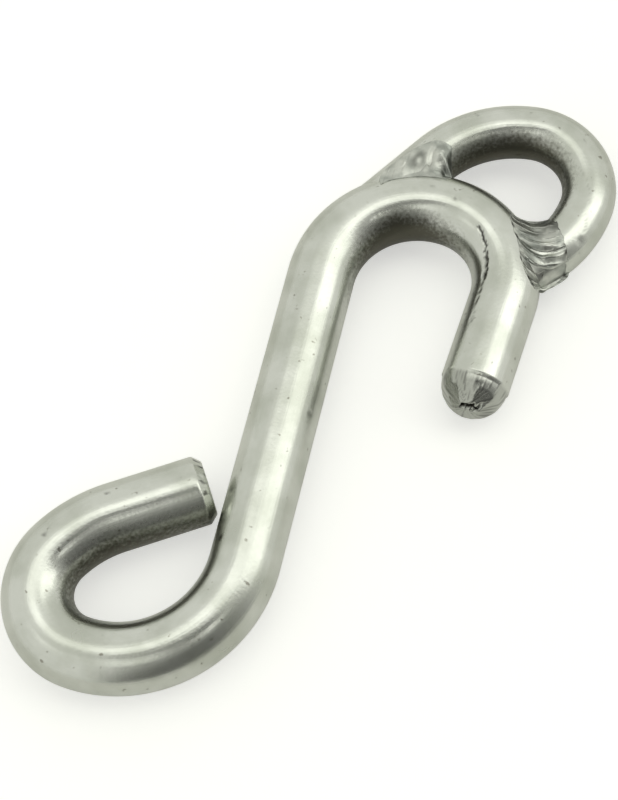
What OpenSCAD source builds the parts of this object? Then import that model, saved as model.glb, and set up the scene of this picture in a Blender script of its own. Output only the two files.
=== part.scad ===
// Halyard hook. A round bar is bent into a hook with an eye at its foot, and a bow of
// thinner round bar is welded on the back of the hook's crown. The fitting lies flat:
// the centrelines of both bars are in one level plane, and the hook bar rests on Z = 0.
// The shank runs along Y, with the crown and the bow at its +Y end.

/* [Hook bar] */
// Diameter of the round bar that the hook and its eye are bent from
hook_bar_d = 8; // [7:0.1:10]
// Length of the straight shank between the eye and the crown
shank_length = 35.8; // [28:0.1:60]
// Centreline radius of the crown where it leaves the shank
crown_start_r = 11.7; // [10:0.1:16]
// Turn of the crown at its first radius, in degrees
crown_start_turn = 101; // [90:1:110]
// Centreline radius of the crown where it comes down to the free leg
crown_end_r = 9.5; // [8:0.1:12]
// Turn of the crown at its second radius, in degrees
crown_end_turn = 84.5; // [70:0.5:95]
// Length of the straight free leg up to its domed tip
free_leg_length = 10.8; // [6:0.1:20]
// Width of the shallow pit left in the middle of the domed tip
tip_pit_d = 2; // [1:0.1:3]

/* [Eye] */
// Centreline radius of the eye where it leaves the shank
eye_start_r = 14.1; // [12:0.1:18]
// Turn of the eye at its first radius, in degrees
eye_start_turn = 96; // [90:1:100]
// Centreline radius of the eye's tight end
eye_end_r = 6.9; // [6:0.1:9]
// Turn of the eye's tight end, in degrees
eye_end_turn = 115; // [105:1:120]
// Centreline radius where the eye comes back towards the shank
eye_return_r = 15.6; // [12:0.1:20]
// Turn of the eye's returning side, in degrees
eye_return_turn = 27.5; // [20:0.5:32]
// Gap left between the eye's tail and the shank
eye_gap = 0.4; // [0.2:0.1:3]
// Radius that rounds the rim of the tail's square-cut end
tail_edge_r = 1; // [0.3:0.1:2]

/* [Bow] */
// Diameter of the thinner round bar of the bow
bow_bar_d = 6.4; // [5:0.05:6.8]
// Height of the bow's centreline above the outside of the crown
bow_height = 10.9; // [8:0.1:18]
// Place of the bow's top round the crown, in degrees clockwise from the shank
bow_place = 35; // [32:0.5:38]
// Lean of the bow's axis, in degrees clockwise from the shank
bow_lean = 48.2; // [45:0.1:51]
// Centreline radius of the bow's top
bow_top_r = 7.7; // [6.5:0.1:9]
// Turn of the bow's top, in degrees
bow_top_turn = 103; // [98:1:108]
// Centreline radius of the bow's two sides
bow_side_r = 14.4; // [12.5:0.1:16]
// Turn of each side of the bow, in degrees
bow_side_turn = 52; // [48:1:55]

/* [Welds] */
// Width of the widest run of weld
weld_w = 5.8; // [4:0.1:7]
// Depth of the right-hand beads' crests below the crest of the hook bar
right_weld_dip = 0.1; // [0:0.05:0.6]
// Depth of the left-hand beads' crests below the crest of the hook bar
left_weld_dip = 0.2; // [0:0.05:0.6]
// Depth of the small first run beside the right foot below the wide one
first_run_dip = 0.5; // [0:0.05:1]
// Radius of the hollow that the right-hand weld leaves in the corner of the bow
corner_r = 4.3; // [2:0.1:5]
// Width of the dished crater in which the left-hand bead ends
crater_w = 2.4; // [1:0.1:4]
// Depth of that crater
crater_depth = 0.45; // [0.1:0.05:0.6]
// Distance from one weld ripple to the next
ripple_pitch = 0.9; // [0.6:0.05:1.5]
// Tilt of each frozen puddle on the one before it, in degrees
ripple_tilt = 9; // [5:1:25]
// Turn of the right-hand ripples towards the bow's opening, in degrees
ripple_turn = 35; // [0:5:50]

/* [Hidden] */
$fn = 96;

hook_r = hook_bar_d / 2;
bow_r = bow_bar_d / 2;

// Pieces of bent bar join as one solid because every second one is a hair thicker, and its
// neighbours run a little way into it
HAIR = hook_bar_d / 400;
RUN_IN = hook_bar_d / 80;

// A path is a list of bends [centreline radius, turn in degrees], where a left turn is
// positive, and of straights [length, 0]. A pose is [x, y, heading in degrees].

// Pose at the far end of one bend or straight
function step(at, piece) =
    let (size = piece[0], turn = piece[1], side = sign(turn), out = at.z + turn)
    turn == 0
        ? [at.x + size * cos(at.z), at.y + size * sin(at.z), at.z]
        : [at.x + side * size * (sin(out) - sin(at.z)),
           at.y - side * size * (cos(out) - cos(at.z)),
           out];

// Poses at the start of each piece of a path and at its end
function poses(path, at, i = 0) =
    i == len(path) ? [at] : concat([at], poses(path, step(at, path[i]), i + 1));

function end_pose(path, at) = poses(path, at)[len(path)];

// The same path and pose, followed from the far end
function backwards(path) = [for (i = [len(path) - 1 : -1 : 0]) [path[i][0], -path[i][1]]];
function turned(at) = [at.x, at.y, at.z + 180];

// The shank is centred on X = 0, and the eye bends away from its foot. The eye's tail stops
// where its rounded corner comes within eye_gap of the shank.
foot_at = [0, -shank_length / 2, -90];
eye_bends = [
    [eye_start_r, -eye_start_turn],
    [eye_end_r, -eye_end_turn],
    [eye_return_r, -eye_return_turn]
];
eye_closing = end_pose(eye_bends, foot_at);
corner_drop = (hook_r - tail_edge_r) * sin(eye_closing.z);
tail_run = -hook_r - eye_gap - tail_edge_r - corner_drop - eye_closing.x;
eye_path = concat(eye_bends, [[tail_run / cos(eye_closing.z) - 2 * RUN_IN, 0]]);
tail_at = end_pose(eye_path, foot_at);

// The whole hook bar, from the eye's tail to the start of the domed tip
crown_path = [[crown_start_r, -crown_start_turn], [crown_end_r, -crown_end_turn]];
hook_path = concat(
    backwards(eye_path), [[shank_length, 0]], crown_path, [[free_leg_length, 0]]
);
tip_at = end_pose(hook_path, turned(tail_at));
FITTED_AGAINST = [5, 6, 7];

// Centres of the crown's two bends
crown_at = [0, shank_length / 2, 90];
crown_mid = step(crown_at, crown_path[0]);
start_centre = [crown_start_r, shank_length / 2];
end_centre = start_centre
    + (crown_start_r - crown_end_r) * [-sin(crown_mid.z), cos(crown_mid.z)];

// The bow's sides run down from its top. Each foot ends inside the hook bar, which is then
// cut away from it.
bow_reach = crown_start_r + hook_r + bow_height;
bow_top = start_centre + bow_reach * [sin(bow_place), cos(bow_place)];
right_side = [[bow_top_r, -bow_top_turn / 2], [bow_side_r, -bow_side_turn]];
left_side = [[bow_top_r, bow_top_turn / 2], [bow_side_r, bow_side_turn]];
right_foot_at = end_pose(right_side, [bow_top.x, bow_top.y, -bow_lean]);
left_foot_at = end_pose(left_side, [bow_top.x, bow_top.y, 180 - bow_lean]);

// Length of a straight from a pose to where it first meets a circle, or to where it comes
// nearest to the circle's centre if it passes outside
function run_to(at, centre, radius) =
    let (
        dx = centre.x - at.x,
        dy = centre.y - at.y,
        ahead = dx * cos(at.z) + dy * sin(at.z),
        aside = dx * sin(at.z) - dy * cos(at.z)
    )
    ahead - sqrt(max(0, radius * radius - aside * aside));

left_run = run_to(left_foot_at, start_centre, crown_start_r);
right_run = run_to(right_foot_at, end_centre, crown_end_r);
bow_start = turned(step(left_foot_at, [left_run, 0]));
bow_path = [
    [left_run, 0],
    [bow_side_r, -bow_side_turn],
    [bow_top_r, -bow_top_turn],
    [bow_side_r, -bow_side_turn],
    [right_run, 0]
];

// Where a foot lands on the outside of the crown: [centre of the crown's bend there, radius
// of its outside, angle at which the foot's centreline meets it, distance along it from
// there to the corner of the bow's opening]. Opening is 1 if that lies left of the foot.
function landing(at, centre, radius) =
    let (there = step(at, [run_to(at, centre, radius), 0]))
    atan2(there.y - centre.y, there.x - centre.x);
function seat(at, centre, bend_r, opening) =
    let (
        outside = bend_r + hook_r,
        side = opening * bow_r,
        edge = [at.x - side * sin(at.z), at.y + side * cos(at.z), at.z],
        middle_angle = landing(at, centre, outside),
        corner_angle = landing(edge, centre, outside)
    )
    [centre, outside, middle_angle, (corner_angle - middle_angle) * outside * PI / 180];

left_seat = seat(left_foot_at, start_centre, crown_start_r, 1);
right_seat = seat(right_foot_at, end_centre, crown_end_r, -1);

// Points along a path at even steps of each piece
SAMPLES = 48;
function part_of(piece, share) =
    piece[1] == 0 ? [piece[0] * share, 0] : [piece[0], piece[1] * share];
function points(path, at) =
    let (starts = poses(path, at))
    [for (i = [0 : len(path) - 1]) for (k = [1 : SAMPLES])
        step(starts[i], part_of(path[i], k / SAMPLES))];

// The middle of the fitting's outer limits, which is brought over the origin
hook_points = points(hook_path, turned(tail_at));
bow_points = points(bow_path, bow_start);
function limits(axis) = concat(
    [for (p = hook_points) for (side = [-hook_r, hook_r]) p[axis] + side],
    [for (p = bow_points) for (side = [-bow_r, bow_r]) p[axis] + side]
);
middle = [for (axis = [0, 1]) (min(limits(axis)) + max(limits(axis))) / 2];

// Moves the bars from around Z = 0 to their resting height over the origin
module laid_flat() {
    translate([-middle.x, -middle.y, hook_r + HAIR]) children();
}

// Places children at a pose, with +X along its heading
module at_pose(at) {
    translate([at.x, at.y, 0]) rotate(at.z) children();
}

// One bend or straight of round bar along +X from the origin, longer by extra at each end
module bar_piece(piece, d, extra) {
    size = piece[0];
    turn = piece[1];
    spread = turn == 0 ? 0 : extra / size * 180 / PI;
    if (turn == 0) {
        translate([-extra, 0, 0]) rotate([0, 90, 0]) cylinder(d = d, h = size + 2 * extra);
    } else {
        translate([0, sign(turn) * size, 0])
            rotate_extrude(
                start = (turn > 0 ? -90 : 90 + turn) - spread, angle = abs(turn) + 2 * spread
            ) translate([size, 0]) circle(d = d);
    }
}

// The pieces of bent round bar with the given places in a path
module bent_bar(path, at, d, places) {
    starts = poses(path, at);
    for (i = places)
        at_pose(starts[i])
            bar_piece(path[i], i % 2 == 0 ? d : d + 2 * HAIR, i % 2 == 0 ? RUN_IN : 0);
}

// The crown and the free leg, which the bow's feet and the welds fit against
module crown() {
    bent_bar(hook_path, turned(tail_at), hook_bar_d, FITTED_AGAINST);
}

module whole_bow() {
    bent_bar(bow_path, bow_start, bow_bar_d, [0 : len(bow_path) - 1]);
}

// Square-cut bar end along +X with its rim rounded
module rounded_end(d, edge_r) {
    rotate([0, 90, 0]) rotate_extrude() {
        square([d / 2, 2 * RUN_IN]);
        square([d / 2 - edge_r, 2 * RUN_IN + edge_r]);
        translate([d / 2 - edge_r, 2 * RUN_IN]) intersection() {
            circle(r = edge_r);
            square(edge_r);
        }
    }
}

// Domed end along +X, with the pit that the last of the grinding left in the middle
module domed_tip() {
    pit_r = tip_pit_d / 2;
    rotate([0, 90, 0]) difference() {
        sphere(d = hook_bar_d);
        translate([0, 0, hook_r + 0.4 * pit_r]) sphere(r = pit_r);
    }
}

module hook_bar() {
    color([0.78, 0.79, 0.76]) laid_flat() {
        bent_bar(hook_path, turned(tail_at), hook_bar_d, [0 : len(hook_path) - 1]);
        at_pose(tip_at) domed_tip();
        at_pose(tail_at) rounded_end(hook_bar_d + 2 * HAIR, tail_edge_r);
    }
}

// The bow's feet are cut to the back of the crown, and nothing of them passes through it
module bow() {
    color([0.72, 0.73, 0.70]) laid_flat() difference() {
        whole_bow();
        crown();
        for (bend = [[start_centre, crown_start_r], [end_centre, crown_end_r]])
            translate([bend[0].x, bend[0].y, 0])
                cylinder(r = bend[1], h = 2 * hook_bar_d, center = true);
    }
}

// One frozen puddle of weld metal. It is arched across the bead and tilted on the puddle
// before it, so that the edge towards -Y stands up as a ripple, with its crest at top.
module puddle(r, top) {
    arch_r = 2.4 * r;
    h = top - r * sin(ripple_tilt);
    translate([0, 0, h]) rotate([-ripple_tilt, 0, 0]) intersection() {
        translate([0, 0, -h - r / 2]) cylinder(r = r, h = h + r / 2 + 1);
        translate([0, 0, -arch_r]) rotate([90, 0, 0]) cylinder(r = arch_r, h = 4 * r, center = true);
    }
}

// Places children at a spot beside a foot: [out from the crown's outside, along it]
module at_spot(seat, spot) {
    reach = seat[1] + spot.x;
    translate([seat[0].x, seat[0].y, 0])
        rotate(seat[2] + spot.y / reach * 180 / PI) translate([reach, 0, 0]) children();
}

// A run of weld between two spots, whose third values are the puddles' radii there. Turn
// is how far its ripples are turned from straight across the hook bar.
module run_of_weld(seat, from, to, top, turn = 0) {
    count = round(norm([to.x - from.x, to.y - from.y]) / ripple_pitch);
    for (i = [0 : count]) {
        spot = from + (to - from) * i / count;
        at_spot(seat, spot) rotate(turn) puddle(spot.z, top);
    }
}

// What is drawn above the plane of the bars, on both faces
module both_faces() {
    children();
    mirror([0, 0, 1]) children();
}

left_top = hook_r - left_weld_dip;
right_top = hook_r - right_weld_dip;
left_corner = left_seat[3];
right_corner = right_seat[3];

// The left foot's bead is one run that widens and fills the corner of the bow's opening,
// with the crater of its last puddle dished into it
module left_weld() {
    crater_r = (crater_w * crater_w / 4 + crater_depth * crater_depth) / (2 * crater_depth);
    color([0.60, 0.61, 0.58]) laid_flat() difference() {
        both_faces() run_of_weld(
            left_seat, [-0.07, 0.22, 0.2] * weld_w,
            [0.18 * weld_w, left_corner + 0.24 * weld_w, 0.37 * weld_w], left_top
        );
        both_faces() at_spot(left_seat, [0.12, -0.17] * weld_w)
            translate([0, 0, left_top - crater_depth + crater_r]) sphere(r = crater_r);
        crown();
        whole_bow();
    }
}

// The right foot has a small low run and a wide one, hollowed in the corner of the bow's
// opening
module right_weld() {
    color([0.60, 0.61, 0.58]) laid_flat() difference() {
        both_faces() {
            run_of_weld(
                right_seat, [-0.14, -0.55, 0.12] * weld_w, [-0.16, 0.12, 0.3] * weld_w,
                right_top - first_run_dip
            );
            run_of_weld(
                right_seat, [0.05, 0.33, 0.48] * weld_w,
                [0.17 * weld_w, right_corner + 0.5 * weld_w, 0.52 * weld_w],
                right_top, -ripple_turn
            );
        }
        at_spot(right_seat, [0.72 * corner_r, right_corner + 1.5 * corner_r])
            cylinder(r = corner_r, h = 3 * right_top, center = true);
        crown();
        whole_bow();
    }
}

hook_bar();
bow();
left_weld();
right_weld();
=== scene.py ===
import math

import bmesh
import bpy
from mathutils import Matrix, Vector, noise
from mathutils.geometry import intersect_point_line
from mathutils.kdtree import KDTree


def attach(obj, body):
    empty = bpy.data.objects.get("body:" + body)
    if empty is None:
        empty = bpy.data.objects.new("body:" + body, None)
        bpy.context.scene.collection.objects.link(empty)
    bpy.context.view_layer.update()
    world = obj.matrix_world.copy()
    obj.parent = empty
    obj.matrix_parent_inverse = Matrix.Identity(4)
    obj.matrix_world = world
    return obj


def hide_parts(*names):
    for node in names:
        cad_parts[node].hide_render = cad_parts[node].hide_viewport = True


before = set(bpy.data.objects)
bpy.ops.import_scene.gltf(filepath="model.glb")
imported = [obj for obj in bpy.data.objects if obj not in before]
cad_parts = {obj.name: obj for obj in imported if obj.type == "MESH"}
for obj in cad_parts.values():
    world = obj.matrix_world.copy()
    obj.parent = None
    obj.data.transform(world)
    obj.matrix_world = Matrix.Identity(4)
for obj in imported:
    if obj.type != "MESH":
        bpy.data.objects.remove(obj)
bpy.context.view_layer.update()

# ---------------------------------------------------------------------------------------
# The hook bar: one length of 8 mm round stainless bar, bent cold round pins into the eye,
# the shank, the crown and the free leg. Its ends are ground by hand, and the whole fitting
# is tumbled to a soft shine that keeps the bar's drawing lines, pits and handling marks.

MM = 0.001
UP = Vector((0, 0, 1))
PITCH = 0.3

# The bars are drawn in millimetres on their middle plane, and lifted to where the fitting lies.
# A bend is the radius of the bar's middle line with its angle, and a straight is its length.
hook_r = 4.02
LIFT = Vector((-3.18157, -4.728, hook_r))
hook_start = (-7.13802, -11.0876, math.radians(-148.5))
hook_path = [
    (9.86137, 0), (15.6, 27.5), (6.9, 115), (14.1, 96), (35.8, 0),
    (11.7, -101), (9.5, -84.5), (10.8, 0),
]


def after(at, size, turn):
    """Place and heading at the far end of a bend, or of a straight where turn is 0."""
    x, y, heading = at
    if not turn:
        return x + size * math.cos(heading), y + size * math.sin(heading), heading
    side, out = math.copysign(size, turn), heading + math.radians(turn)
    return (
        x + side * (math.sin(out) - math.sin(heading)),
        y - side * (math.cos(out) - math.cos(heading)),
        out,
    )


def bar_mesh():
    """An empty mesh whose corners can hold their place in the bar, painted shade in pits with
    grinding marks, and left scale with painted shade.
    """
    bm = bmesh.new()
    bm.verts.layers.float_vector.new("in_bar")
    bm.verts.layers.float.new("pit_shade_and_marks")
    bm.verts.layers.float.new("scale_and_painted_shade")
    return bm


def first_ring(bm, at, radius, sides):
    """A circle of edges across the bar at its start. Corners hold their (run, side, up)."""
    x, y, heading = at
    aside = Vector((-math.sin(heading), math.cos(heading), 0))
    ahead = Vector((math.cos(heading), math.sin(heading), 0))
    turned = Matrix((aside, UP, ahead)).transposed().to_4x4()
    made = bmesh.ops.create_circle(bm, radius=radius, segments=sides)
    for v in made["verts"]:
        v[bm.verts.layers.float_vector["in_bar"]] = (0, v.co.x, v.co.y)
    bmesh.ops.transform(
        bm, matrix=Matrix.Translation((x, y, 0)) @ turned, verts=made["verts"]
    )
    return list(dict.fromkeys(e for v in made["verts"] for e in v.link_edges))


def carry_on(bm, ring, at, path):
    """Draws a path on from a ring of edges. Returns the last ring, its place and its run."""
    in_bar = bm.verts.layers.float_vector["in_bar"]
    run = 0
    for size, turn in path:
        length = size * math.radians(abs(turn)) if turn else size
        steps = max(1, math.ceil(length / PITCH))
        x, y, heading = at
        side = math.copysign(size, turn)
        centre = (x - side * math.sin(heading), y + side * math.cos(heading), 0)
        forward = Vector((math.cos(heading), math.sin(heading), 0)) * length / steps
        for _ in range(steps):
            run += length / steps
            if turn:
                made = bmesh.ops.spin(
                    bm, geom=ring, cent=centre, axis=(0, 0, 1), dvec=(0, 0, 0),
                    angle=math.radians(turn) / steps, steps=1,
                )["geom_last"]
            else:
                made = bmesh.ops.extrude_edge_only(bm, edges=ring)["geom"]
            verts = [g for g in made if isinstance(g, bmesh.types.BMVert)]
            ring = [g for g in made if isinstance(g, bmesh.types.BMEdge)]
            if not turn:
                bmesh.ops.translate(bm, verts=verts, vec=forward)
            for v in verts:
                v[in_bar].x = run
        at = after(at, size, turn)
    return ring, at, run


def shape_end(bm, ring, at, run, way, profile):
    """Closes a bar with rings of the given (distance ahead, share of the radius).

    Way is 1 where ahead is further along the bar, and -1 at its start.
    """
    in_bar = bm.verts.layers.float_vector["in_bar"]
    x, y, heading = at
    ahead = Vector((math.cos(heading), math.sin(heading), 0))
    done = 0
    share = 1
    for distance, wanted in profile:
        made = bmesh.ops.extrude_edge_only(bm, edges=ring)["geom"]
        verts = [g for g in made if isinstance(g, bmesh.types.BMVert)]
        ring = [g for g in made if isinstance(g, bmesh.types.BMEdge)]
        middle = Vector((x, y, 0)) + ahead * done
        bmesh.ops.scale(
            bm, vec=[wanted / share] * 3, verts=verts, space=Matrix.Translation(-middle)
        )
        bmesh.ops.translate(bm, verts=verts, vec=ahead * (distance - done))
        for v in verts:
            v[in_bar] = (run + way * distance, *(v[in_bar].yz * wanted / share))
        done, share = distance, wanted
    bmesh.ops.contextual_create(bm, geom=ring)


def finished(bm, name):
    """A closed mesh in metres, in the place where the fitting lies."""
    bmesh.ops.recalc_face_normals(bm, faces=bm.faces)
    bmesh.ops.translate(bm, verts=bm.verts, vec=LIFT)
    bmesh.ops.scale(bm, vec=[MM] * 3, verts=bm.verts)
    for face in bm.faces:
        face.smooth = True
    mesh = bpy.data.meshes.new(name)
    bm.to_mesh(mesh)
    bm.free()
    piece = bpy.data.objects.new(name, mesh)
    bpy.context.scene.collection.objects.link(piece)
    return piece


def turned_back(at):
    """The same place, facing the other way."""
    return at[0], at[1], at[2] + math.pi


def smooth_step(low, high, value):
    """From 0 at low to 1 at high, easing in and out."""
    f = min(max((value - low) / (high - low), 0), 1)
    return f * f * (3 - 2 * f)


def off_line(line, run, side):
    """How far a spot of the bar's skin lies from a line of (run, side) points."""
    spot, nearest = Vector((run, side)), math.inf
    for start, end in zip(line, line[1:]):
        share = intersect_point_line(spot, Vector(start), Vector(end))[1]
        foot = Vector(start).lerp(Vector(end), min(max(share, 0), 1))
        nearest = min(nearest, (spot - foot).length)
    return nearest


def mark_skin(bm, cracks, pits):
    """Opens cracks and pits in the upper skin of a bar, and darkens them with painted shade by
    their depth.

    A crack is a line of (run, side) points with its half width, depth and how broken it is;
    a pit is its run, side, radius and depth.
    """
    full_shade_depth = 0.2
    in_bar, pit_shade_and_marks = bm.verts.layers.float_vector["in_bar"], bm.verts.layers.float["pit_shade_and_marks"]
    for v in bm.verts:
        run, side, up = v[in_bar]
        if up <= 0:
            continue
        deep = 0
        for line, half, depth, broken in cracks:
            if line[0][0] - 1 < run < line[-1][0] + 1:
                away = off_line(line, run, side + 0.3 * noise.noise((run * 1.9, 3, 0)))
                half_here = half * (1 + 0.9 * noise.noise((run * 1.7, 7, 0)))
                held = smooth_step(broken - 0.2, broken + 0.2, noise.noise((run * 2.3, 1, 0)))
                deep = max(deep, depth * held * smooth_step(half_here * 2, 0, away))
        for at_run, at_side, radius, depth in pits:
            away = math.hypot(run - at_run, side - at_side)
            if away < 2 * radius:
                away *= 1 + 0.5 * noise.noise((run * 2, side * 2, 5))
                deep = max(deep, depth * smooth_step(radius, 0.3 * radius, away))
        # Painted shade in the cracks and pits, darker where they are deeper.
        if deep:
            v[pit_shade_and_marks] = max(v[pit_shade_and_marks], min(1, deep / full_shade_depth))
            v.co -= deep * v.normal


hook = bar_mesh()
tail_ring = first_ring(hook, hook_start, hook_r, 128)
tip_ring, tip_at, tip_run = carry_on(hook, tail_ring, hook_start, hook_path)

# The tip is rounded on a grinding wheel in several flats. The tail is cut square, and its edge
# is broken with short strokes.
dome = [
    (hook_r * math.sin(lean), math.cos(lean))
    for lean in (math.radians(2.5 * i) for i in range(1, 36))
]
shape_end(hook, tip_ring, tip_at, tip_run, 1, dome)
square_cut = [
    (0.22, 0.995), (0.3, 0.98), (0.45, 0.945), (0.6, 0.91), (0.75, 0.875), (0.9, 0.84),
    (1.05, 0.805), (1.14, 0.78), (1.19, 0.755), (1.2, 0.72),
] + [(1.2, share / 24) for share in range(16, 0, -1)]
shape_end(hook, tail_ring, turned_back(hook_start), 0, -1, square_cut)

# Each flat is tilted from the bar's end and turned about the bar, and is ground down to a
# distance from the dome's centre.
flats = [
    (
        Vector((
            math.cos(math.radians(tilt)),
            math.sin(math.radians(tilt)) * math.cos(math.radians(turn)),
            math.sin(math.radians(tilt)) * math.sin(math.radians(turn)),
        )),
        distance,
    )
    for tilt, turn, distance in (
        (0, 0, 3.8), (47, 100, 3.63), (46, 62, 3.64), (44, 22, 3.72), (46, 136, 3.64),
        (48, 172, 3.7), (24, 80, 3.76), (44, 230, 3.8), (44, 300, 3.8),
    )
]
tip_slimmed = 0.96
tip_ahead = Vector((math.cos(tip_at[2]), math.sin(tip_at[2]), 0))
tip_aside = Vector((-tip_ahead.y, tip_ahead.x, 0))
in_bar = hook.verts.layers.float_vector["in_bar"]
pit_shade_and_marks = hook.verts.layers.float["pit_shade_and_marks"]
scale_and_painted_shade = hook.verts.layers.float["scale_and_painted_shade"]
for v in hook.verts:
    run, side, up = v[in_bar]
    # Left scale on the inner side of the crown, and painted shade in the same dark olive along
    # the shank's right rim near the crown and on the inner side of the tail bar, the first bend
    # and the eye, as millimetres past its edge.
    v[scale_and_painted_shade] = max(
        -side - 0.9 - 0.16 * abs(run - 103), -side - 3.6 - 0.02 * abs(run - 88),
        side - 1.7 - 0.055 * abs(run - 12) - 0.2 * max(0, run - 32), -2,
    )
    if run > tip_run + 0.05:
        p = Vector((run - tip_run, side * tip_slimmed, up * tip_slimmed))
        for normal, distance in flats:
            p -= max(0, p.dot(normal) - distance) * normal
        stroke = noise.noise((9 * math.atan2(p.y + 0.1, p.z - 1.8), 0.5 * p.x, 2))
        p *= 1 + 0.014 * stroke * smooth_step(0, 0.6, p.x)
        hole = math.hypot((p.z - 1.5) / 0.42, (p.y - 0.3 + 0.3 * (p.z - 1.5)) / 1.2)
        hole += 0.9 * noise.noise((p.y * 2.6, p.z * 3.4, 9))
        hole = smooth_step(1, 0.6, hole) if p.z > 0 else 0
        p -= hole * Vector((0.28, 0, 0.21))
        ground = smooth_step(0, 0.3, p.x)
        # The tip's pit is darkened with painted shade, and its ground face with grinding marks.
        v[pit_shade_and_marks] = max(hole, ground * (0.24 + 0.4 * smooth_step(0, 0.5, stroke)))
        v.co = Vector((tip_at[0], tip_at[1], 0)) + tip_ahead * p.x + tip_aside * p.y + UP * p.z
    elif run < -0.1:
        stroke = noise.noise((6 * math.atan2(up, side), 0.8 * run, 4))
        stroke *= smooth_step(0.2, 0.5, -run) * smooth_step(0.4, 2.6, math.hypot(side, up))
        v.co += 0.09 * stroke * Vector((tip_ahead.x, 0, 0.6))
        v[pit_shade_and_marks] = 0.8 * smooth_step(0.3, 0.5, stroke)

hook.normal_update()
crown_crack = [(115.6, -1.4), (116.1, -1.5), (120, -2.27), (123.6, -2.7)]
crown_dashes = [(123.6, -2.7), (124.9, -2.83), (126.5, -2.63), (127.9, -2.78), (130, -2.46)]
mark_skin(
    hook,
    cracks=[(crown_crack, 0.13, 0.22, -0.35), (crown_dashes, 0.1, 0.12, 0.12)],
    pits=[
        (110.93, -0.05, 0.3, 0.08), (111.4, 0.1, 0.2, 0.06), (108.1, 0.9, 0.3, 0.05),
        (9.76, -1.82, 0.35, 0.12), (17.28, -1.27, 0.35, 0.1), (61.9, 3.25, 0.4, 0.1),
        (56.2, 3.1, 0.4, 0.1), (72.6, -3.2, 0.35, 0.06), (86, -1.2, 0.25, 0.05),
    ],
)
hook_bar = finished(hook, "hook_bar_bent")
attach(hook_bar, "root")
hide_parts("hook_bar")


def linear(code):
    """The linear colour of an sRGB hex code."""
    parts = [int(code[i:i + 2], 16) / 255 for i in (1, 3, 5)]
    return [c / 12.92 if c <= 0.04045 else ((c + 0.055) / 1.055) ** 2.4 for c in parts] + [1]


def add(material, kind, settings=None, inputs=None):
    """Adds a node with its settings, and with what goes into it: values or nodes' outputs."""
    node = material.node_tree.nodes.new(kind)
    for name, value in (settings or {}).items():
        setattr(node, name, value)
    for socket, value in (inputs or {}).items():
        if isinstance(value, bpy.types.NodeSocket):
            material.node_tree.links.new(value, node.inputs[socket])
        else:
            node.inputs[socket].default_value = value
    return node


# Tumbled stainless steel: a metal with a soft, slightly uneven shine. The tumbling leaves fine
# dimples over the bar's drawing lines, and doesn't reach the inner side of the crown's bend,
# which keeps its brown scale. The same dark olive is painted shade on the shank's right rim
# near the crown and on the inner sides of the tail bar, the eye and the bow, and cracks and
# pits are darkened with painted shade by their depth. Grey handling smudges and small rust
# stains lie over it.
# Scales are marks in a millimetre: dimples of 0.4 mm, smudges of 6 mm and stains of 0.9 mm.
tumbled_steel = bpy.data.materials.new("tumbled_stainless_steel")
tumbled_steel.use_nodes = True
tumbled_steel.node_tree.nodes.clear()
on_skin = add(tumbled_steel, "ShaderNodeTexCoord").outputs["Object"]
bar_place = add(tumbled_steel, "ShaderNodeAttribute", {"attribute_name": "in_bar"})
shaded_pits_and_marks = add(tumbled_steel, "ShaderNodeAttribute", {"attribute_name": "pit_shade_and_marks"}).outputs["Fac"]
past_scale_and_shade_edge = add(tumbled_steel, "ShaderNodeAttribute", {"attribute_name": "scale_and_painted_shade"})
grain = add(
    tumbled_steel, "ShaderNodeTexNoise", {}, {"Vector": on_skin, "Scale": 2.6 / MM, "Detail": 3}
).outputs["Fac"]
smudge = add(
    tumbled_steel, "ShaderNodeTexNoise", {},
    {"Vector": on_skin, "Scale": 0.17 / MM, "Detail": 4},
).outputs["Fac"]
speck = add(
    tumbled_steel, "ShaderNodeTexNoise", {}, {"Vector": on_skin, "Scale": 1.1 / MM}
).outputs["Fac"]

# Drawing lines are 0.3 mm wide and 10 mm long, and run with the bar, whose place is in mm.
drawn_out = add(
    tumbled_steel, "ShaderNodeMapping", {},
    {"Vector": bar_place.outputs["Vector"], "Scale": (0.1, 3.2, 3.2)},
).outputs["Vector"]
lines = add(
    tumbled_steel, "ShaderNodeTexNoise", {}, {"Vector": drawn_out, "Scale": 1, "Detail": 3}
).outputs["Fac"]

# The edge of the scale and of the painted shade is frayed by the dimples.
frayed = add(
    tumbled_steel, "ShaderNodeMath", {"operation": "MULTIPLY_ADD"},
    {0: grain, 1: 1.9, 2: past_scale_and_shade_edge.outputs["Fac"]},
).outputs[0]
scale_and_shade_cover = add(
    tumbled_steel, "ShaderNodeMapRange", {"interpolation_type": "SMOOTHSTEP"},
    {"Value": frayed, "From Min": 0.95, "From Max": 3.2, "To Max": 0.92},
).outputs[0]
stained = add(
    tumbled_steel, "ShaderNodeMapRange", {},
    {"Value": speck, "From Min": 0.69, "From Max": 0.76, "To Max": 0.6},
).outputs[0]
streaky = add(
    tumbled_steel, "ShaderNodeMath", {"operation": "MULTIPLY_ADD"},
    {0: lines, 1: 0.07, 2: smudge},
).outputs[0]
clean = add(
    tumbled_steel, "ShaderNodeMapRange", {},
    {"Value": streaky, "From Min": 0.4, "From Max": 0.66},
).outputs[0]
steel_colour = linear("#C3C6BD")
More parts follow.
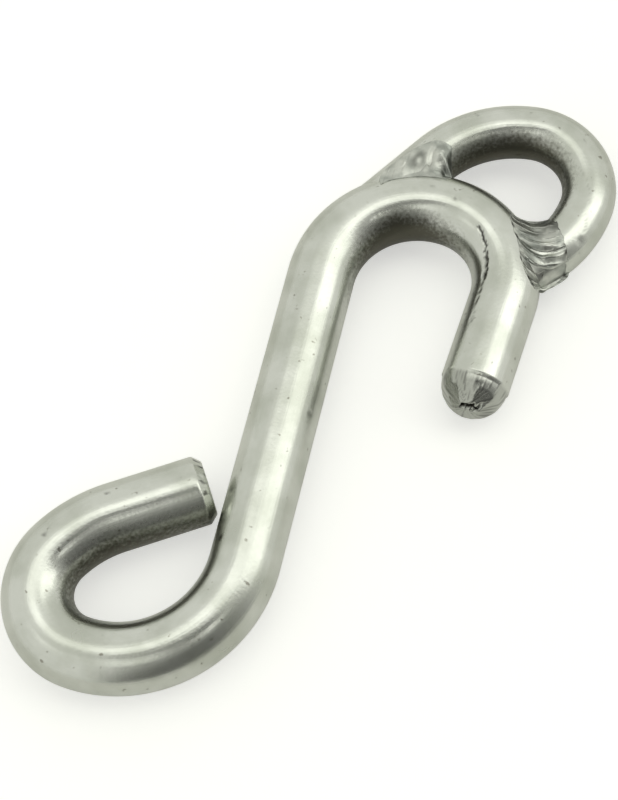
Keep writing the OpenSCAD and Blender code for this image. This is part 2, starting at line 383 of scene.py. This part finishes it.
# Over the steel: lighter smudges, rust stains, a dark olive that is left scale inside the crown
# and painted shade elsewhere, and a near black that is painted shade in cracks and pits with
# grinding marks on the ends.
for cover, tone in (
    (clean, "#D8DAD4"), (stained, "#6A6456"), (scale_and_shade_cover, "#4A473B"), (shaded_pits_and_marks, "#24221E")
):
    steel_colour = add(
        tumbled_steel, "ShaderNodeMix", {"data_type": "RGBA"},
        {0: cover, 6: steel_colour, 7: linear(tone)},
    ).outputs[2]
shine = add(
    tumbled_steel, "ShaderNodeMapRange", {},
    {"Value": smudge, "From Min": 0.3, "From Max": 0.7, "To Min": 0.28, "To Max": 0.2},
).outputs[0]
shine = add(
    tumbled_steel, "ShaderNodeMath", {"operation": "MULTIPLY_ADD"},
    {0: scale_and_shade_cover, 1: 0.16, 2: shine},
).outputs[0]
relief = add(
    tumbled_steel, "ShaderNodeMath", {"operation": "MULTIPLY_ADD"}, {0: grain, 1: 0.8, 2: lines}
).outputs[0]
dented = add(
    tumbled_steel, "ShaderNodeBump", {}, {"Distance": 0.012 * MM, "Height": relief}
).outputs["Normal"]
steel = add(
    tumbled_steel, "ShaderNodeBsdfPrincipled", {},
    {"Base Color": steel_colour, "Metallic": 1.0, "Roughness": shine, "Normal": dented},
)
add(tumbled_steel, "ShaderNodeOutputMaterial", {}, {"Surface": steel.outputs["BSDF"]})
hook_bar.data.materials.append(tumbled_steel)

# ---------------------------------------------------------------------------------------
# The bow: a shorter length of 6.4 mm bar, bent to an arch, whose two feet are fitted to the
# back of the crown and welded there.

bow_r = 3.2
bow_start = (1.88909, 24.6934, math.radians(415.3))
bow_path = [(13.8327, 0), (14.4, -52), (7.7, -103), (14.4, -52), (0.279905, 0)]
bow_bm = bar_mesh()
foot_ring = first_ring(bow_bm, bow_start, bow_r, 96)
other_ring = carry_on(bow_bm, foot_ring, bow_start, bow_path)[0]
bmesh.ops.contextual_create(bow_bm, geom=foot_ring)
bmesh.ops.contextual_create(bow_bm, geom=other_ring)
bow_bm.normal_update()
in_bar = bow_bm.verts.layers.float_vector["in_bar"]
scale_and_painted_shade = bow_bm.verts.layers.float["scale_and_painted_shade"]
# Painted shade in the dark olive of the scale on the bow's inner side, round the top of its
# arch, as millimetres past its edge.
for v in bow_bm.verts:
    run, side, _ = v[in_bar]
    v[scale_and_painted_shade] = max(-side - 0.5 - 0.07 * abs(run - 24), -2)
scratch = [(28.4, -1), (31.5, -1.67), (35.6, -1.66), (36.7, -1.3), (40.4, 0.1), (42.4, 0.5)]
foot_crack = [(42.6, 0.7), (43.4, 1.1), (44.6, 1.72)]
mark_skin(
    bow_bm,
    cracks=[(scratch, 0.05, 0.03, -0.7), (foot_crack, 0.06, 0.06, -0.6)],
    pits=[(45.5, 1.9, 0.5, 0.05), (33.2, 0.8, 0.2, 0.05), (20.3, 1.4, 0.25, 0.05)],
)
bow = finished(bow_bm, "bow_bent")
bow.data.materials.append(tumbled_steel)
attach(bow, "root")
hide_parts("bow")

# ---------------------------------------------------------------------------------------
# The two welds that hold the bow: stainless filler run by hand into the valleys between the
# bars, on both faces. Each step of the rod has set as an arched ripple, with painted shade in
# its groove, and the toes have heat oxide and the painted shadow of small undercuts along them.


def bar_height(start, path, radius):
    """A function for how high a bar's skin lies over a spot of its middle plane."""
    middle, at, cuts = [], start, 300
    for size, turn in path:
        for i in range(1, cuts + 1):
            middle.append(after(at, size if turn else size * i / cuts, turn * i / cuts))
        at = after(at, size, turn)
    tree = KDTree(len(middle))
    for i, (x, y, _) in enumerate(middle):
        tree.insert((x, y, 0), i)
    tree.balance()
    return lambda x, y: math.sqrt(max(0, radius ** 2 - tree.find((x, y, 0))[2] ** 2))


over_hook = bar_height(hook_start, hook_path, hook_r)
over_bow = bar_height(bow_start, bow_path, bow_r)


def along(points, share):
    """A point on a smooth line through the given points."""
    place = min(max(share, 0), 1) * (len(points) - 1)
    i = min(int(place), len(points) - 2)
    f = place - i
    p = [Vector(points[min(max(i + k, 0), len(points) - 1)]) for k in (-1, 0, 1, 2)]
    return (
        p[1] + (p[2] - p[0]) * f / 2 + (2 * p[0] - 5 * p[1] + 4 * p[2] - p[3]) * f ** 2 / 2
        + (3 * p[1] - p[0] - 3 * p[2] + p[3]) * f ** 3 / 2
    )


def run_weld(bm, hook_toe, bow_toe, sag, ripples, step, soot, tarnish, round_off, shapes, seed):
    """Lays a run between two toe lines, on both faces, and closes it round its rim.

    Its ripples arch by the sag at its start and end, and are a step high. Of the two shades
    after the step, the first is painted shade in their grooves and painted undercut shadow with
    heat oxide along the toes, and the second is painted shade over the first half. The round
    off is the share of the run that each end takes. Shapes are soft mounds and hollows, each at
    a share across and along the run, with its two sizes as shares and its height; the hollows'
    slopes get painted shade.
    """
    tucked, proud, over_bars, steep = 0.6, 0.06, 0.02, 4
    in_bar = bm.verts.layers.float_vector["in_bar"]
    laid = []
    for face in (1, -1):
        made = bmesh.ops.create_grid(bm, x_segments=104, y_segments=120, size=0.5)["verts"]
        for v in made:
            # Where the corner lies: s is the share across and t the share along the run.
            t = v.co.y + 0.5
            toe, end = along(hook_toe, t), along(bow_toe, t)
            chord = end - toe
            hidden = tucked * min(1, chord.length / 3) / chord.length
            s = -hidden + (1 + 2 * hidden) * (v.co.x + 0.5)
            down = Vector((chord.y, -chord.x)).normalized()
            arch = sag[0] + (sag[1] - sag[0]) * t
            spot = toe + chord * s + down * arch * max(0, 4 * s * (1 - s))
            s += 0.03 * noise.noise((9 * t, seed, face))
            on = min(max(s, 0), 1)

            # The fill from bar to bar, with its mounds and hollows, and painted shade on the
            # hollows' slopes.
            bars = max(over_hook(*spot), over_bow(*spot))
            fill = (1 - on) * over_hook(*toe) + on * over_bow(*end)
            hollow_shade = 0
            for across, on_way, wide, far, high in shapes:
                held = math.exp(-((s - across) / wide) ** 2 - ((t - on_way) / far) ** 2)
                fill += high * held
                hollow_shade = max(hollow_shade, -high * 2 * held * (1 - held))
            rough = noise.noise((spot.x * 1.1, spot.y * 1.1, seed + face)) * 0.12
            rough += noise.noise((spot.x * 4, spot.y * 4, seed + face)) * 0.02

            # The ripples, each a little higher or lower than the next.
            beat = noise.noise((spot.x * 0.5, spot.y * 0.5, seed + 5 * face))
            beat = t * ripples + 0.5 * beat
            f = beat % 1
            weight = 0.6 + 0.8 * noise.noise((3.1 * math.floor(beat), seed, face))
            middle = 1 - abs(2 * on - 1) ** 5
            ripple = step * weight * (f ** 2.5 - 0.4) * middle
            top = max(fill + rough, bars + over_bars) + ripple * smooth_step(0, 0.12, t) + proud

            # The rim: the run dives into the bars beside it, and its ends are rounded.
            z = top - steep * abs(s - on) * chord.length
            rim = min(t / round_off[0], (1 - t) / round_off[1], 1)
            z = max(z, 0) * math.sqrt(max(0, 1 - (1 - rim) ** 2))
            if abs(v.co.x) > 0.499:
                z = 0

            # Painted shade in the ripples' grooves, painted undercut shadow with heat oxide at
            # the toes, and painted shade over the first half of the run.
            groove = max(smooth_step(0.16, 0, f), smooth_step(0.9, 1, f)) * middle * weight
            groove_shade_patches = noise.noise((spot.x * 0.9, spot.y * 0.9, seed + 2))
            groove *= smooth_step(-0.5, 0.3, groove_shade_patches)
            toe_shadow_and_oxide = smooth_step(0.09, 0, min(on, 1 - on))
            toe_shadow_and_oxide *= smooth_step(-0.25, 0.45, noise.noise((8 * t, 2 * on, seed)))
            painted_hole_side_shade = tarnish * smooth_step(0.55, 0.3, t) * (1 + noise.noise((6 * t, 3 * s, seed)))
            # The third value carries the painted shade, the undercut shadow and the heat oxide
            # to the weld metal.
            v[in_bar] = (s, t, min(1, max(hollow_shade, soot * max(groove, toe_shadow_and_oxide), painted_hole_side_shade)))
            v.co = (spot.x, spot.y, face * z)
        laid += made
    bmesh.ops.remove_doubles(bm, verts=laid, dist=0.002)


# Weld metal: the same steel cast in place, duller and rougher than the bar, lighter in patches
# of 2.4 mm and with grains of 0.3 mm. It is darkened with painted shade in the ripples'
# grooves, in the hollows and over the runs' first halves, and with painted undercut shadow and
# heat oxide along the toes.
weld_metal = bpy.data.materials.new("stainless_weld_metal")
weld_metal.use_nodes = True
weld_metal.node_tree.nodes.clear()
in_run = add(weld_metal, "ShaderNodeAttribute", {"attribute_name": "in_bar"})
shade_and_toe_oxide = add(weld_metal, "ShaderNodeSeparateXYZ", {}, {0: in_run.outputs["Vector"]}).outputs["Z"]
place = add(weld_metal, "ShaderNodeTexCoord").outputs["Object"]
patches = add(
    weld_metal, "ShaderNodeTexNoise", {}, {"Vector": place, "Scale": 0.42 / MM, "Detail": 5}
).outputs["Fac"]
bright = add(
    weld_metal, "ShaderNodeMapRange", {}, {"Value": patches, "From Min": 0.38, "From Max": 0.62}
).outputs[0]
bead_grain = add(
    weld_metal, "ShaderNodeTexNoise", {}, {"Vector": place, "Scale": 3 / MM, "Detail": 3}
).outputs["Fac"]
pimpled = add(
    weld_metal, "ShaderNodeBump", {}, {"Distance": 0.018 * MM, "Height": bead_grain}
).outputs["Normal"]
bead_colour = linear("#A4A8A2")
# The near black is painted shade, and heat oxide at the toes.
for cover, tone in ((bright, "#D6D8D1"), (shade_and_toe_oxide, "#2B2925")):
    bead_colour = add(
        weld_metal, "ShaderNodeMix", {"data_type": "RGBA"},
        {0: cover, 6: bead_colour, 7: linear(tone)},
    ).outputs[2]
bead = add(
    weld_metal, "ShaderNodeBsdfPrincipled", {},
    {"Base Color": bead_colour, "Metallic": 1.0, "Roughness": 0.33, "Normal": pimpled},
)
add(weld_metal, "ShaderNodeOutputMaterial", {}, {"Surface": bead.outputs["BSDF"]})

# The right weld is a wide run, a first narrow one under it, and a lobe at its foot. The left
# weld is a single run with a crater in it.
right_runs = [
    {
        "hook_toe": [(20.2, 30.45), (20.3, 29.2), (20.98, 27.41), (21.74, 25.97), (22.5, 24.0)],
        "bow_toe": [(25.3, 31.1), (26.09, 28.9), (26.9, 27.47), (27.5, 26.3), (27.9, 25.1)],
        "sag": (0.7, 1.4), "ripples": 8.6, "step": 0.3, "soot": 1, "tarnish": 0.42,
        "round_off": (0.22, 0.05), "seed": 3,
        "shapes": [
            (0.5, 0.22, 0.3, 0.2, -0.45), (0.6, 0.62, 0.35, 0.07, 0.45),
            (0.3, 0.74, 0.22, 0.06, -0.4), (0.7, 0.82, 0.3, 0.05, 0.3),
            (0.85, 0.35, 0.1, 0.2, 0.15),
        ],
    },
    {
        "hook_toe": [(22.3, 25.0), (22.7, 23.4), (23.9, 21.6), (24.9, 20.7)],
        "bow_toe": [(25.7, 24.9), (25.6, 23.2), (25.4, 21.8), (25.2, 20.9)],
        "sag": (0.9, 0.2), "ripples": 5.3, "step": 0.3, "soot": 1, "tarnish": 0,
        "round_off": (0.05, 0.12), "seed": 11,
        "shapes": [(0.65, 0.4, 0.25, 0.3, -0.6)],
    },
    {
        "hook_toe": [(25.5, 24.9), (25.5, 23.7), (25.5, 22.6), (25.5, 21.5)],
        "bow_toe": [(27.9, 25.0), (27.9, 24.0), (27.2, 22.9), (26.2, 21.8)],
        "sag": (-0.5, 0.2), "ripples": 2.1, "step": 0.04, "soot": 0.8, "tarnish": 0,
        "round_off": (0.1, 0.3), "seed": 31,
        "shapes": [(0.5, 0.3, 0.5, 0.3, 0.2)],
    },
]
left_runs = [
    {
        "hook_toe": [(13.3, 32.6), (10.8, 32.1), (8.3, 31.6), (5.7, 30.5), (4.5, 29.4)],
        "bow_toe": [(12.5, 36.3), (10.3, 37.0), (8.4, 36.3), (6.1, 34.3), (4.3, 31.7)],
        "sag": (-0.5, -0.3), "ripples": 8.2, "step": 0.05, "soot": 0.35, "tarnish": 0.1,
        "round_off": (0.12, 0.06), "seed": 23,
        "shapes": [
            (0.66, 0.19, 0.2, 0.07, 0.5), (0.55, 0.31, 0.25, 0.025, -0.45),
            (0.45, 0.46, 0.2, 0.075, -1.0), (0.15, 0.12, 0.16, 0.05, -0.8),
            (0.5, 0.63, 0.2, 0.03, 0.2), (0.4, 0.75, 0.3, 0.05, -0.15),
        ],
    },
]
for name, node, runs in (
    ("bow_weld_left", "left_weld", left_runs), ("bow_weld_right", "right_weld", right_runs)
):
    bead_bm = bmesh.new()
    bead_bm.verts.layers.float_vector.new("in_bar")
    for run in runs:
        run_weld(bead_bm, **run)
    weld = finished(bead_bm, name)
    weld.data.materials.append(weld_metal)
    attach(weld, "root")
    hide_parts(node)

# ---------------------------------------------------------------------------------------
# The floor, the light and the camera: a pale glowing floor in a white tent, seen from above.
# The tent glows evenly. It has wide lamps behind and small ones in front, a dark strip where
# the camera looks in, and the dark of the room where it is open at the right of its front.

# The floor is laid twice, as a lit and a shaded copy: the camera sees an evenly glowing sheet
# that lights nothing and that the steel doesn't see, and the steel sees, and is lit by, a
# darker sheet with less glow just under it, which the camera doesn't see, so that the shade
# under the bars shows in the steel.
floor_bm = bmesh.new()
bmesh.ops.create_grid(floor_bm, x_segments=1, y_segments=1, size=12)
for name, sheet_name, colour, glow, height, unseen_by in (
    ("floor", "lit_floor_copy", "#DCDCD8", 0.48, 0, ("visible_glossy", "visible_diffuse")),
    ("floor_shade", "shaded_floor_copy", "#F4F4EE", 0.12, -0.02, ("visible_camera",)),
):
    floor_mesh = bpy.data.meshes.new(name)
    floor_bm.to_mesh(floor_mesh)
    floor = bpy.data.objects.new(name, floor_mesh)
    floor.location.z = height * MM
    bpy.context.scene.collection.objects.link(floor)
    sheet = bpy.data.materials.new(sheet_name)
    sheet.use_nodes = True
    sheet.node_tree.nodes.clear()
    matt = add(
        sheet, "ShaderNodeBsdfPrincipled", {},
        {
            "Base Color": linear(colour), "Roughness": 0.9, "Specular IOR Level": 0.2,
            "Emission Color": linear("#FFFFFF"), "Emission Strength": glow,
        },
    )
    add(sheet, "ShaderNodeOutputMaterial", {}, {"Surface": matt.outputs["BSDF"]})
    floor_mesh.materials.append(sheet)
    for rays in unseen_by:
        setattr(floor, rays, False)
floor_bm.free()

# The tent is painted as it is seen on a polished ball from above: its top in the middle and
# its foot at a distance of 1.
tent = bpy.data.worlds.new("light_tent")
tent.use_nodes = True
tent.node_tree.nodes.clear()
facing = add(tent, "ShaderNodeTexCoord").outputs["Generated"]
spread = add(tent, "ShaderNodeSeparateXYZ", {}, {0: facing}).outputs["Z"]
spread = add(tent, "ShaderNodeMath", {"operation": "ABSOLUTE"}, {0: spread}).outputs[0]
spread = add(tent, "ShaderNodeMath", {"operation": "ADD"}, {0: spread, 1: 1}).outputs[0]
spread = add(tent, "ShaderNodeMath", {"operation": "POWER"}, {0: spread, 1: -0.5}).outputs[0]
plan = add(
    tent, "ShaderNodeVectorMath", {"operation": "SCALE"}, {0: facing, "Scale": spread}
).outputs["Vector"]


def panel(under, centre, size, turn, soft, brightness):
    """Hangs a panel with soft edges in the tent, as bright as given, over what is there."""
    on_panel = add(
        tent, "ShaderNodeMapping", {"vector_type": "TEXTURE"},
        {
            "Vector": plan, "Location": (*centre, 0), "Rotation": (0, 0, math.radians(turn)),
            "Scale": (size[0] / 2, size[1] / 2, 1),
        },
    )
    on_panel = add(
        tent, "ShaderNodeVectorMath", {"operation": "ABSOLUTE"}, {0: on_panel.outputs[0]}
    )
    across = add(tent, "ShaderNodeSeparateXYZ", {}, {0: on_panel.outputs["Vector"]})
    held = 1.0
    for way in (0, 1):
        inside = add(
            tent, "ShaderNodeMapRange", {"interpolation_type": "SMOOTHSTEP"},
            {
                "Value": across.outputs[way],
                "From Min": 1 + soft / size[way], "From Max": 1 - soft / size[way],
            },
        )
        held = add(
            tent, "ShaderNodeMath", {"operation": "MULTIPLY"}, {0: held, 1: inside.outputs[0]}
        ).outputs[0]
    return add(
        tent, "ShaderNodeMix", {"data_type": "FLOAT"}, {0: held, 2: under, 3: brightness}
    ).outputs[0]


light = 0.82
for hung in (
    ((0.78, -0.62), (1.5, 1.2), -8, 0.24, 0.36),    # the open front
    ((0.9, -0.95), (1.5, 1.1), -20, 0.3, 0.16),     # the room beyond it
    ((0.42, 0.22), (0.54, 0.32), 0, 0.12, 1.8),     # wide lamps behind
    ((-0.05, 0.14), (0.5, 0.2), 0, 0.16, 1.6),
    ((0.16, -0.1), (0.5, 0.13), -8, 0.1, 0.04),     # where the camera looks in
    ((0.04, -0.32), (0.18, 0.09), 0, 0.1, 1.5),     # small lamps in front
    ((0.34, -0.16), (0.12, 0.09), 0, 0.08, 2.0),
    ((-0.35, -0.24), (0.16, 0.07), -30, 0.08, 1.5),
):
    light = panel(light, *hung)
background = add(
    tent, "ShaderNodeBackground", {}, {"Color": linear("#FDFEF6"), "Strength": light}
)
add(tent, "ShaderNodeOutputWorld", {}, {"Surface": background.outputs["Background"]})
bpy.context.scene.world = tent
bpy.context.scene.view_settings.view_transform = "Standard"

# The camera stands nearly over the fitting, 186 mm from the middle of it, with a long lens.
camera = bpy.data.cameras.new("camera")
camera.lens = 71.11
camera.sensor_width = 36
camera.clip_start = 0.01
camera_at = bpy.data.objects.new("camera", camera)
camera_at.location = Vector((22.683, -63.881, 173.619)) * MM
camera_at.rotation_euler = [math.radians(a) for a in (21.0428, 2.7672, 13.7760)]
bpy.context.scene.collection.objects.link(camera_at)
bpy.context.scene.camera = camera_at
